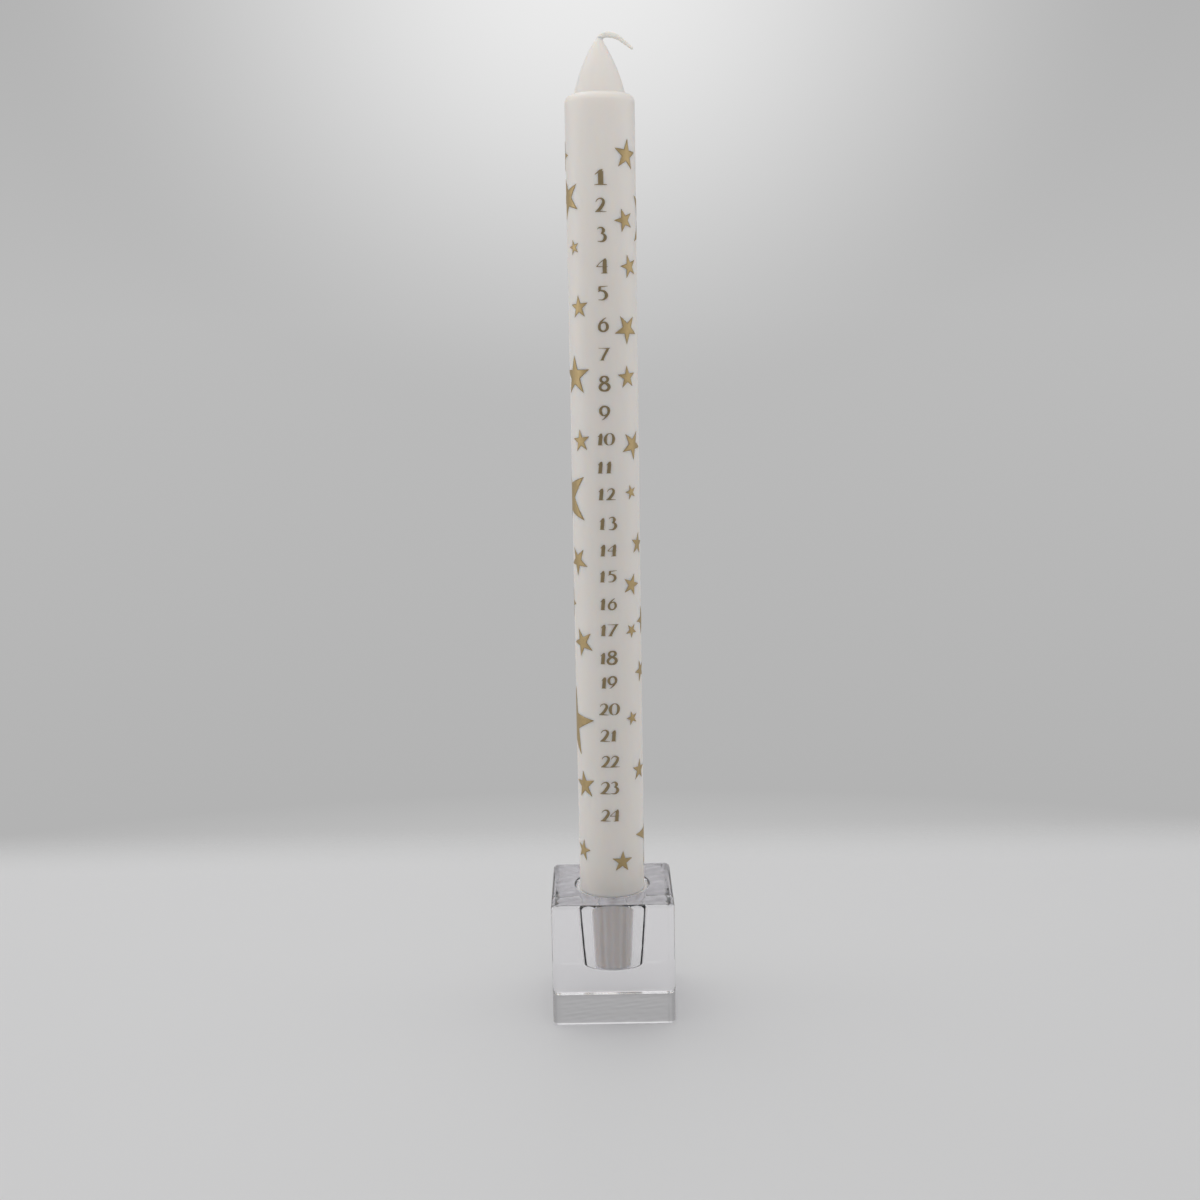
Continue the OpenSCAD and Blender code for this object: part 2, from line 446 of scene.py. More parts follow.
@dataclass
class GlassBlock:
    """The square pressed glass block, with a tapered socket pressed into its top."""

    width: float = 41.0
    height: float = 42.0
    corner: float = 2.0
    edge: float = 1.2
    socket_floor: float = 16.5
    socket_end: float = 10.301
    lean: float = 4.629
    lip: float = 0.8
    floor_corner: float = 0.6
    floor_middle: float = 0.5
    ripple: float = 0.02
    top_ripple: float = 0.11
    base_ripple: float = 0.02
    side_places: int = 72
    corner_places: int = 12
    side_rings: int = 23
    edge_rings: int = 8
    base_shares: tuple = (0.03, 1.0, 28)
    top_shares: tuple = (0.04, 0.97, 13)
    side_start: float = 0.9
    side_fade: float = 3.0
    flat_fade: float = 2.0

    def outline(self) -> tuple[Array, Array]:
        """The block's plan, a square with rounded corners, anticlockwise from the middle of its +X side.

        A quarter is half a side, a quarter circle and half a side, and each of the other three is the one
        before it turned by 90 degrees.

        Returns:
            The points, and the direction that looks straight out at each.
        """
        half, flat = self.width / 2, self.width / 2 - self.corner
        up = line((half, 0), (half, flat), self.side_places // 2 + 1)[:-1]
        bend = arc((flat, flat), self.corner, 0, 90, self.corner_places + 1)[:-1]
        back = line((flat, half), (0, half), self.side_places // 2 + 1)[:-1]
        out = np.vstack([up * 0 + (1, 0), (bend - flat) / self.corner, back * 0 + (0, 1)])
        quarter, look = np.vstack([up, bend, back]) @ (1, 1j), out @ (1, 1j)
        turns = np.array([1, 1j, -1, -1j])[:, None]
        points, looks = (turns * quarter).ravel(), (turns * look).ravel()
        return np.stack([points.real, points.imag], -1), np.stack([looks.real, looks.imag], -1)

    def socket_profile(self) -> Array:
        """Half section of the socket from the lip's top down to its floor.

        Returns:
            Its points as radius and height.
        """
        tilt = np.radians(self.lean)
        depth = self.height - self.socket_floor
        mouth = self.socket_end + depth * np.tan(tilt)
        lip_x = mouth - self.lip * np.tan(tilt) + self.lip / np.cos(tilt)
        lip_z = self.height - self.lip
        lip = arc((lip_x, lip_z), self.lip, 90, 180 - self.lean, count=10)
        low = (self.socket_end + self.floor_corner * np.tan(tilt), self.socket_floor + self.floor_corner)
        wall = line(tuple(lip[-1]), low, count=14)[1:-1]
        centre = (self.socket_end - self.floor_corner, self.socket_floor + self.floor_corner)
        corner = arc(centre, self.floor_corner, 0, -90, count=8)
        floor = line(tuple(corner[-1]), (self.floor_middle, self.socket_floor), count=6)[1:]
        return np.vstack([lip, wall, corner, floor])

    def rings(self) -> Array:
        """Rings of the whole surface: from the middle of the underside out, up, in over the top and down.

        On the edges a ring is the plan drawn in by the edge's radius times (1 - cosine). On the flat faces it
        is a share of the way from one plan to the next, and in the socket it is a circle.

        Returns:
            The grid of points.
        """
        plan, look = self.outline()
        inset = plan - self.edge * look
        angle = np.linspace(0, 2 * np.pi, len(plan), endpoint=False)
        circle = np.stack([np.cos(angle), np.sin(angle)], -1)
        rows: list[Array] = []

        def add(flat: Array, height: float) -> None:
            """Keeps one ring."""
            rows.append(np.column_stack([flat, np.full(len(flat), height)]))

        for share in np.linspace(*self.base_shares):
            add(inset * share, 0.0)
        for bend in np.radians(np.linspace(-90, 0, self.edge_rings + 1))[1:]:
            add(plan - self.edge * (1 - np.cos(bend)) * look, self.edge * (1 + np.sin(bend)))
        for height in np.linspace(self.edge, self.height - self.edge, self.side_rings + 1)[1:]:
            add(plan, float(height))
        for bend in np.radians(np.linspace(0, 90, self.edge_rings + 1))[1:]:
            add(plan - self.edge * (1 - np.cos(bend)) * look, self.height - self.edge * (1 - np.sin(bend)))
        section = self.socket_profile()
        rim = circle * section[0, 0]
        for share in np.linspace(*self.top_shares):
            add(inset + share * (rim - inset), self.height)
        for radius, height in section:
            add(circle * radius, float(height))
        return np.stack(rows)

    def wavy(self, rings: Array) -> Array:
        """The slight unevenness of pressed glass.

        Each side sinks by slow sines of its place, which fade out at its ends. The top and the underside sink
        by quicker sines of x and y, which fade out at their edges and at the socket's mouth.

        Args:
            rings: The exact surface.

        Returns:
            The surface, never proud of the exact one.
        """
        x, y, z = rings[..., 0], rings[..., 1], rings[..., 2]
        slow = sines(0.31 * z + 0.17 * x + 1.3, 0.23 * x - 0.19 * y + 0.11 * z, 0.27 * y - 0.2 * z + 4)
        quick = sines(1.1 * x + 0.5 * y, 0.6 * x - 1.3 * y + 2, 0.9 * y + 0.8 * np.sin(0.7 * x))
        half, inner = self.width / 2, self.width / 2 - self.edge
        reach = np.maximum(abs(x), abs(y))
        on_side = smooth_step(self.side_start * half, half, reach) * smooth_step(0, self.side_fade, z)
        on_side *= 1 - smooth_step(self.height - self.side_fade, self.height, z)
        moved = rings.copy()
        moved[..., :2] *= (1 - self.ripple * slow * on_side / np.maximum(reach, 1))[..., None]
        dip = quick * (1 - smooth_step(inner - self.flat_fade, inner, reach))
        mouth = self.socket_profile()[0, 0]
        past_mouth = smooth_step(mouth, mouth + self.flat_fade, np.hypot(x, y))
        moved[..., 2] += self.base_ripple * dip * (z <= 0)
        moved[..., 2] -= self.top_ripple * dip * past_mouth * (z >= self.height)
        return moved

    def build(self, finish: Material) -> Piece:
        """Builds and dresses the block.

        Args:
            finish: The glass.

        Returns:
            The block.
        """
        rings = self.wavy(self.rings())
        vertices, faces = closed_shell(rings, np.zeros(3), np.array([0, 0, self.socket_floor]))
        piece = new_piece("pressed_glass_block", vertices, faces, finish)
        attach(piece, "holder")
        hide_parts("glass_holder")
        return piece


# The candle


@dataclass
class Candle:
    """The wax of the candle: the core with its fluted foot, and the outer coat with its shoulder and cone."""

    radius: float = 11.0
    foot_end: float = 16.5
    length: float = 300.0
    foot_height: float = 24.7
    foot_radius: float = 10.0
    foot_top: float = 12.0
    foot_bevel: float = 0.8
    core_radius: float = 10.35
    bore: float = 1.0
    flutes: int = 28
    flute_cutter: float = 1.2
    flute_depth: float = 0.35
    ledge_round: float = 0.25
    shoulder: float = 2.6
    cone_height: float = 15.5
    cone_radius: float = 8.1
    tip_radius: float = 1.7
    cone_curve: float = 55.0
    wick_bend: float = 2.4
    fillet: Array = field(default_factory=lambda: np.array([
        [1.7, 0.0], [1.5, 0.35], [1.3, 0.7], [1.13, 1.05], [1.0, 1.4], [0.85, 1.6],
    ]))
    valley: tuple = ((0.12, 0.02), (0.02, 0.12))
    sway: float = 0.03
    hem: float = 0.3
    hem_cut: float = 0.08
    under_edge: float = 2.2
    core_chamfer: float = 0.1
    core_step: float = 0.5
    core_start: float = 1.0
    core_crown: float = 2.0
    cone_wall: float = 0.7
    bore_depth: float = 2.0
    around: int = 192
    side_rings: int = 170
    shoulder_rings: int = 14
    cone_rings: int = 26
    flute_rings: int = 24
    flute_places: int = 14

    @property
    def coat_edge(self) -> float:
        """Height of the coat's lower edge over the table."""
        return self.foot_end + self.foot_height

    @property
    def tip(self) -> float:
        """Height of the wax tip over the table."""
        return self.foot_end + self.length

    def cone_profile(self, count: int) -> Array:
        """The cone's side: an arc of the curve radius through the shoulder's inner edge and the tip's rim.

        Args:
            count: Number of points.

        Returns:
            The points as radius and height.
        """
        low = np.array([self.cone_radius, self.tip - self.cone_height])
        high = np.array([self.tip_radius, self.tip])
        span = np.linalg.norm(high - low)
        inward = np.array([low[1] - high[1], high[0] - low[0]]) / span
        middle = (low + high) / 2 + inward * np.sqrt(self.cone_curve**2 - span**2 / 4)
        start, end = (np.degrees(np.arctan2(*(p - middle)[::-1])) for p in (low, high))
        return arc(tuple(middle), self.cone_curve, start, end, count)

    def coat_profile(self) -> Array:
        """Half section of the coated candle above its foot.

        Returns:
            Its points as radius and height.
        """
        edge, shoulder_z = self.coat_edge, self.tip - self.cone_height
        bend_z = shoulder_z - self.shoulder
        side = line((self.radius, edge + self.hem), (self.radius, bend_z), self.side_rings)
        bend = arc((self.radius - self.shoulder, bend_z), self.shoulder, 0, 90, self.shoulder_rings)[1:]
        valley = (self.cone_radius, shoulder_z) + np.array(self.valley)
        cone = self.cone_profile(self.cone_rings)[1:-1]
        rim = self.fillet + (0.0, self.tip)
        inward = np.array([[-self.under_edge, 0.0], [-self.hem, 0.0], [-self.hem_cut, self.hem_cut]])
        low = (self.radius, edge) + inward
        return np.vstack([low, side, bend, valley, cone, rim])

    def build_coat(self, finish: Material) -> Piece:
        """Builds the coat, which sways inwards by a hair, as dipping leaves it, and creeps up the wick.

        A share of the radius is taken off, which on the side comes to the sway times the mean of two slow
        sines of angle and height. Above the tip a ring's middle follows the wick's bend.

        Args:
            finish: The coat's wax.

        Returns:
            The coat.
        """
        rings = turned(self.coat_profile(), self.around)
        angle = np.arctan2(rings[..., 1], rings[..., 0])
        height = rings[..., 2]
        wave = sines(0.055 * height + angle + 0.4, 0.13 * height - 2 * angle)
        rings[..., :2] *= (1 - self.sway * wave / self.radius)[..., None]
        climb = np.maximum(height - self.tip, 0)
        rings[..., 0] += self.wick_bend - np.sqrt(self.wick_bend**2 - climb**2)
        vertices, faces = closed_shell(rings, np.array([0, 0, self.coat_edge]), rings[-1].mean(axis=0))
        piece = new_piece("dipped_coat", vertices, faces, finish)
        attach(piece, "candle")
        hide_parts("dip_coat")
        return piece

    def foot_rings(self) -> Array:
        """Rings of the foot's side with its flutes, which run out through its top.

        At angle a and height h a plain cone's radius is cut by the depth of the round cutter there: the root
        of the cutter's radius squared less the square of the way round from the flute's middle, less what
        stays outside the cone, and never less than nothing. The top edge is drawn in by a quarter circle.

        Returns:
            The grid of points.
        """
        plain_top = self.foot_height - self.ledge_round
        bend = np.radians(np.linspace(0, 90, 6))[1:]
        heights = np.concatenate([
            np.linspace(self.foot_bevel, plain_top, self.flute_rings),
            plain_top + self.ledge_round * np.sin(bend),
        ])
        inset = np.concatenate([np.zeros(self.flute_rings), self.ledge_round * (1 - np.cos(bend))])
        around = self.flute_places * self.flutes
        angle = np.linspace(0, 2 * np.pi, around, endpoint=False)
        lean = (self.foot_top - self.foot_radius) / self.foot_height
        plain = self.foot_radius + lean * heights[:, None] + 0 * angle
        pitch = 2 * np.pi / self.flutes
        off = ((angle / pitch) % 1 - 0.5) * pitch * plain
        reach = np.maximum(self.flute_cutter**2 - off**2, 0)
        cut = np.maximum(np.sqrt(reach) - (self.flute_cutter - self.flute_depth), 0)
        radius = plain - cut - inset[:, None]
        height = self.foot_end + heights[:, None] + 0 * angle
        return np.stack([radius * np.cos(angle), radius * np.sin(angle), height], -1)

    def build_core(self, finish: Material) -> Piece:
        """Builds the core: the bore's open end, bevelled end, fluted foot, and the body under the coat.

        Args:
            finish: The core's wax.

        Returns:
            The core.
        """
        around = self.flute_places * self.flutes
        base, edge, core, cut = self.foot_end, self.coat_edge, self.core_radius, self.core_chamfer
        flat, inner_end = self.foot_radius - self.foot_bevel, base + self.bore_depth
        end = np.array([
            [self.bore, inner_end], [self.bore, base + cut], [self.bore + cut, base], [flat - cut, base],
            [flat, base],
        ])
        step = np.array([[core + self.core_step, edge], [core, edge + cut]])
        body_top = self.tip - self.cone_height - self.core_crown
        body = line((core, edge + self.core_start), (core, body_top), count=8)
        cone = self.cone_profile(count=8) - (self.cone_wall, 0.0)
        rings = np.concatenate([
            turned(end, around), self.foot_rings(), turned(np.vstack([step, body, cone[:-1]]), around)
        ])
        first, last = np.array([0, 0, inner_end]), np.array([0, 0, self.tip - self.core_crown])
        vertices, faces = closed_shell(rings, first, last)
        piece = new_piece("fluted_foot_and_core", vertices, faces, finish)
        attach(piece, "candle")
        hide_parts("wax_core")
        return piece


@dataclass
class Wick:
    """The braided wick, which stands in the candle and curls over at the tip."""

    radius: float = 0.95
    end_radius: float = 0.5
    foot: float = 17.0
    tip: float = 316.5
    tight: float = 2.4
    wide: float = 7.5
    droop: float = 38.0
    straight: float = 4.6
    strand_pitch: float = 2.6
    strand_depth: float = 0.06
    strands_begin: float = -1.0
    strands_full: float = 1.5
    root: float = 4.0
    blunt: float = 0.02
    around: int = 48

    def path(self) -> Array:
        """The middle line: straight up, a tight bend, a wider one and the straight free end.

        Returns:
            Its points as x and z.
        """
        root = (0, self.tip - self.root)
        low = line((0, self.foot), root, count=12)[:-1]
        base = line(root, (0, self.tip), count=20)[:-1]
        tight = arc((self.tight, self.tip), self.tight, 180, 90, count=40)[:-1]
        peak = self.tip + self.tight
        wide = arc((self.tight, peak - self.wide), self.wide, 90, 90 - self.droop, count=60)
        fall = np.radians(self.droop)
        last = wide[-1] + self.straight * np.array([np.cos(fall), -np.sin(fall)])
        free = line(tuple(wide[-1]), tuple(last), count=56)
        return np.vstack([low, base, tight, wide[:-1], free])

    def build(self, finish: Material) -> Piece:
        """Builds the wick: a circle carried along the path, raised where a strand of the braid runs on top.

        The radius at angle a and way s along the path is the plain one, less the strand depth times 1 minus
        the higher of two ridges, the squared cosines of 2 a plus and minus s over the pitch times pi. The
        plain radius narrows towards the free end and closes in a round end. The strands show from the wax's
        tip on.

        Args:
            finish: The waxed cotton.

        Returns:
            The wick.
        """
        path = self.path()
        way = np.concatenate([[0], np.cumsum(np.linalg.norm(np.diff(path, axis=0), axis=1))])
        ahead = np.gradient(path, way, axis=0)
        ahead /= np.linalg.norm(ahead, axis=1)[:, None]
        side = np.stack([-ahead[:, 1], ahead[:, 0]], -1)
        angle = np.linspace(0, 2 * np.pi, self.around, endpoint=False)
        left = way[-1] - way
        free = self.straight + np.radians(self.droop) * self.wide
        plain = self.end_radius + (self.radius - self.end_radius) * smooth_step(0, free, left)
        plain *= np.sqrt(np.clip(1 - (1 - np.clip(left / self.end_radius, 0, 1)) ** 2, self.blunt, 1))
        turn = np.pi * way[:, None] / self.strand_pitch
        ridge = np.maximum(np.cos(2 * angle + turn) ** 2, np.cos(2 * angle - turn) ** 2)
        bare = self.tip - self.foot
        shown = smooth_step(bare + self.strands_begin, bare + self.strands_full, way)
        deep = self.strand_depth * shown[:, None]
        radius = plain[:, None] - deep * (1 - ridge)
        out = radius * np.cos(angle)
        points = np.stack([
            path[:, :1] + side[:, :1] * out, radius * np.sin(angle), path[:, 1:] + side[:, 1:] * out
        ], -1)
        centre = [np.array([path[k, 0], 0, path[k, 1]]) for k in (0, -1)]
        vertices, faces = closed_shell(points, centre[0], centre[1])
        piece = new_piece("braided_wick", vertices, faces, finish)
        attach(piece, "candle")
        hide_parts("wick")
        return piece


# The gold print


@dataclass
class PrintFilm:
    """A thin film that lies round the candle, built up patch by patch."""

    name: str
    radius: float = 11.0
    back: float = 0.005
    front: float = 0.05
    vertices: list = field(default_factory=list)
    faces: list = field(default_factory=list)
    count: int = 0

    def wrap(self, flat: Array, turn: float, height: float, lift: float) -> Array:
        """Lays flat points round the candle.

        A point's place round the candle is turn plus its x over the radius, from the front towards +X, and
        its height is raised by its y.

        Args:
            flat: Points x, y in millimetres, x to the right as it is read.
            turn: Where x of 0 lies, in degrees from the front.
            height: Where y of 0 lies, in millimetres over the table.
            lift: How far the points lie off the wax.

        Returns:
            The points in space.
        """
        place = np.radians(turn) + flat[..., 0] / self.radius
        reach = self.radius + lift
        return np.stack([reach * np.sin(place), -reach * np.cos(place), height + flat[..., 1]], -1)

    def add(self, rings: Array, first: Array, last: Array) -> None:
        """Adds one closed patch.

        Args:
            rings: Grid of its points.
            first: The point that closes its first ring.
            last: The point that closes its last ring.
        """
        vertices, faces = closed_shell(rings, first, last, self.count)
        self.vertices.append(vertices)
        self.faces.extend(faces)
        self.count += len(vertices)

    def build(self, finish: Material, *nodes: str) -> Piece:
        """Makes the film's mesh and dresses it.

        Args:
            finish: The ink.
            nodes: The CAD nodes that the film stands for, if any.

        Returns:
            The film.
        """
        piece = new_piece(self.name, np.vstack(self.vertices), self.faces, finish)
        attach(piece, "candle")
        if nodes:
            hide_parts(*nodes)
        return piece


class StarSize(Enum):
    """The five star sizes: CAD node, reach from middle to point, and points along each edge."""

    SMALL = ("stars_small", 2.5, 4)
    MEDIUM = ("stars_medium", 3.8, 6)
    LARGE = ("stars_large", 4.9, 7)
    EXTRA_LARGE = ("stars_extra_large", 6.6, 9)
    GIANT = ("stars_giant", 12.0, 15)


# Each star's height in percent of the straight part, its place round the candle and its turn in degrees.
STAR_PLACES = {
    StarSize.SMALL: (
        (52.7, 47, -15), (35, 44, 36), (23.5, 43, -14), (82.8, -53, -15), (95.5, 112, 20), (91, 174, -10),
        (77.5, 104, 12), (66, 104, -30), (76, 254, 8), (62, 256, -20), (44, 226, 30), (26.5, 116, -8),
        (36, 152, 25), (13.5, 228, 16), (26, 206, 5),
    ),
    StarSize.MEDIUM: (
        (85.9, 40, -19), (80.4, 50, -16), (67, 42, -4), (46, 65, 9), (40.9, 46, 18), (29.4, 71, -18),
        (16.3, 61, 4), (4.4, 19, 4), (75.6, -44, -4), (59.2, -45, -7), (5.5, -59, 8), (95.8, 196, -10),
        (86.5, 212, 25), (72, 120, 10), (58.5, 110, -8), (50, 178, 20), (44.5, 128, 12), (31.5, 192, -22),
        (35.5, 240, 5), (15.5, 116, -25), (4.8, 203, -15),
    ),
    StarSize.LARGE: (
        (93.6, 46, 6), (72.9, 43, -34), (58.6, 53, 30), (36, 84, -18), (93.8, -92, 18), (44, -59, -35),
        (38.3, -94, 18), (33.5, -50, -25), (14.5, -52, -9), (80, 238, 18), (70.5, 162, 4), (53, 138, -28),
        (40.5, 180, 33), (11.5, 176, 30), (6, 244, 28),
    ),
    StarSize.EXTRA_LARGE: (
        (88.7, -71, -21), (67.2, -57, -2), (79, 180, 24), (70.5, 222, -14), (30, 142, -12),
        (20.5, 170, 14),
    ),
    StarSize.GIANT: ((86.2, 118, 18), (52, -90, -18), (22.6, -89, 8), (6.8, 109, -7), (61, 182, 6)),
}


@dataclass
class StarScatter:
    """The stars scattered round the candle's straight part."""

    low: float = 42.3
    straight: float = 256.1
    notch: float = 0.38
    point_loss: float = 0.06

    def outline(self, reach: float, turn: float, steps: int) -> Array:
        """A five-pointed star, anticlockwise.

        Its corners lie at every 36 degrees, in turn at the reach and at the notch's share of it, and the
        edges between them are straight, with the points drawn back a little, as ink leaves them.

        Args:
            reach: From the middle to a point.
            turn: Clockwise, in degrees.
            steps: Points along each edge.

        Returns:
            The points x, y.
        """
        corner = np.arange(10)
        size = reach * np.where(corner % 2 == 0, 1.0, self.notch)
        angle = np.radians(90 - turn + 36 * corner)
        corners = np.stack([size * np.cos(angle), size * np.sin(angle)], -1)
        share = np.linspace(0, 1, steps, endpoint=False)[None, :, None]
        edge = corners[:, None] + share * (np.roll(corners, -1, axis=0) - corners)[:, None]
        flat = edge.reshape(-1, 2)
        far = np.linalg.norm(flat, axis=1)
        return flat * np.minimum(1.0, (reach - self.point_loss) / far)[:, None]

    def build(self, size: StarSize, finish: Material) -> Piece:
        """Builds all the stars of one size.

        A star's face is its outline drawn in by shares from 1 to 0, wrapped round the candle, and its back is
        the same nearer the wax.

        Args:
            size: The size.
            finish: The ink.

        Returns:
            The stars as one piece.
        """
        node, reach, steps = size.value
        film = PrintFilm(f"gold_{node}")
        shares = np.linspace(1, 0, steps // 2 + 2)[:-1]
        for percent, place, turn in STAR_PLACES[size]:
            height = self.low + self.straight * percent / 100
            flat = self.outline(reach, turn, steps)
            back = [film.wrap(flat * s, place, height, film.back) for s in shares[::-1]]
            front = [film.wrap(flat * s, place, height, film.front) for s in shares]
            middle = np.zeros((1, 2))
            film.add(
                np.stack(back + front),
                film.wrap(middle, place, height, film.back),
                film.wrap(middle, place, height, film.front),
            )
        return film.build(finish, node)


# Each digit is a list of strokes, and each stroke a list of (x, y, half of the pen's width), in shares of the
# digit's height. The i is the plainer one that leads or ends a pair, and a nine is a six turned half round.
DIGITS = {
    "1": (
        ((0, 0.02, 0.15), (0, 0.45, 0.15), (0, 0.87, 0.15)),
        ((-0.38, 0.66, 0.015), (-0.22, 0.78, 0.03), (-0.05, 0.88, 0.07), (0.13, 0.97, 0.035)),
        ((-0.42, 0.015, 0.014), (-0.15, 0.03, 0.03), (0.15, 0.03, 0.03), (0.42, 0.015, 0.014)),
    ),
    "i": (
        ((-0.02, 0.03, 0.14), (0, 0.5, 0.14), (0.02, 0.84, 0.13), (0.09, 0.99, 0.04)),
        ((-0.24, 0.72, 0.012), (-0.1, 0.8, 0.05), (0.03, 0.88, 0.06)),
        ((-0.22, 0.015, 0.012), (0, 0.03, 0.03), (0.2, 0.015, 0.012)),
    ),
    "2": (
        ((-0.33, 0.7, 0.015), (-0.22, 0.87, 0.028), (0.02, 0.955, 0.04), (0.2, 0.82, 0.08), (0.21, 0.63, 0.1),
         (0.08, 0.38, 0.105), (-0.13, 0.13, 0.09), (-0.36, 0.03, 0.025)),
        ((-0.38, 0.025, 0.02), (-0.1, 0.045, 0.04), (0.2, 0.035, 0.022), (0.43, 0.025, 0.012)),
    ),
    "3": (
        ((-0.28, 0.85, 0.015), (-0.16, 0.945, 0.028), (0.02, 0.955, 0.045), (0.13, 0.8, 0.095),
         (0.1, 0.66, 0.075), (-0.02, 0.57, 0.03)),
        ((-0.03, 0.57, 0.025), (0.15, 0.5, 0.06), (0.25, 0.32, 0.1), (0.17, 0.13, 0.08), (0, 0.04, 0.038),
         (-0.27, 0.06, 0.015)),
    ),
    "4": (
        ((0.18, 0.03, 0.12), (0.18, 0.5, 0.12), (0.2, 0.84, 0.11), (0.235, 0.99, 0.02)),
        ((0.2, 0.94, 0.028), (-0.13, 0.71, 0.018), (-0.36, 0.46, 0.025)),
        ((-0.38, 0.45, 0.022), (0.06, 0.44, 0.018), (0.38, 0.45, 0.014)),
        ((-0.06, 0.015, 0.012), (0.18, 0.03, 0.03), (0.37, 0.015, 0.012)),
    ),
    "5": (
        ((-0.24, 0.63, 0.045), (-0.22, 0.75, 0.075), (-0.2, 0.93, 0.08)),
        ((-0.26, 0.93, 0.03), (0.02, 0.945, 0.026), (0.36, 0.975, 0.012)),
        ((-0.33, 0.61, 0.02), (-0.12, 0.67, 0.035), (0.12, 0.6, 0.07), (0.25, 0.38, 0.1), (0.19, 0.19, 0.08),
         (0, 0.05, 0.035), (-0.31, 0.05, 0.015)),
    ),
    "6": (
        ((0.2, 0.98, 0.012), (0.03, 0.87, 0.035), (-0.15, 0.68, 0.06), (-0.27, 0.45, 0.08),
         (-0.27, 0.24, 0.085), (-0.16, 0.09, 0.06), (0, 0.04, 0.045), (0.17, 0.1, 0.06), (0.28, 0.27, 0.088),
         (0.27, 0.46, 0.088), (0.17, 0.62, 0.06), (0.02, 0.66, 0.035), (-0.13, 0.58, 0.028)),
    ),
    "7": (
        ((-0.47, 0.97, 0.01), (-0.1, 0.955, 0.018), (0.24, 0.945, 0.03)),
        ((0.16, 0.925, 0.03), (0.3, 0.93, 0.05), (0.46, 0.97, 0.01)),
        ((0.36, 0.95, 0.03), (0.25, 0.84, 0.08), (0.09, 0.57, 0.085), (-0.07, 0.28, 0.085),
         (-0.19, 0.02, 0.09)),
        ((-0.38, 0.015, 0.012), (-0.2, 0.03, 0.03), (-0.02, 0.015, 0.012)),
    ),
    "8": (
        ((0, 0.56, 0.035), (-0.17, 0.63, 0.07), (-0.235, 0.77, 0.075), (-0.15, 0.91, 0.055), (0, 0.955, 0.04),
         (0.15, 0.91, 0.06), (0.225, 0.78, 0.08), (0.16, 0.65, 0.065), (0, 0.56, 0.04)),
        ((0, 0.55, 0.04), (-0.2, 0.44, 0.075), (-0.29, 0.27, 0.08), (-0.2, 0.1, 0.065), (0, 0.045, 0.045),
         (0.2, 0.1, 0.07), (0.3, 0.28, 0.09), (0.22, 0.44, 0.08), (0, 0.55, 0.045)),
    ),
    "0": (
        ((0, 0.97, 0.018), (-0.2, 0.88, 0.05), (-0.32, 0.66, 0.095), (-0.34, 0.45, 0.11), (-0.28, 0.2, 0.085),
         (-0.13, 0.05, 0.033), (0, 0.03, 0.018), (0.15, 0.06, 0.033), (0.28, 0.22, 0.085), (0.34, 0.48, 0.11),
         (0.31, 0.68, 0.095), (0.19, 0.89, 0.045), (0, 0.97, 0.018)),
    ),
}
DIGITS["9"] = tuple(tuple((-x, 1 - y, w) for x, y, w in stroke) for stroke in DIGITS["6"])


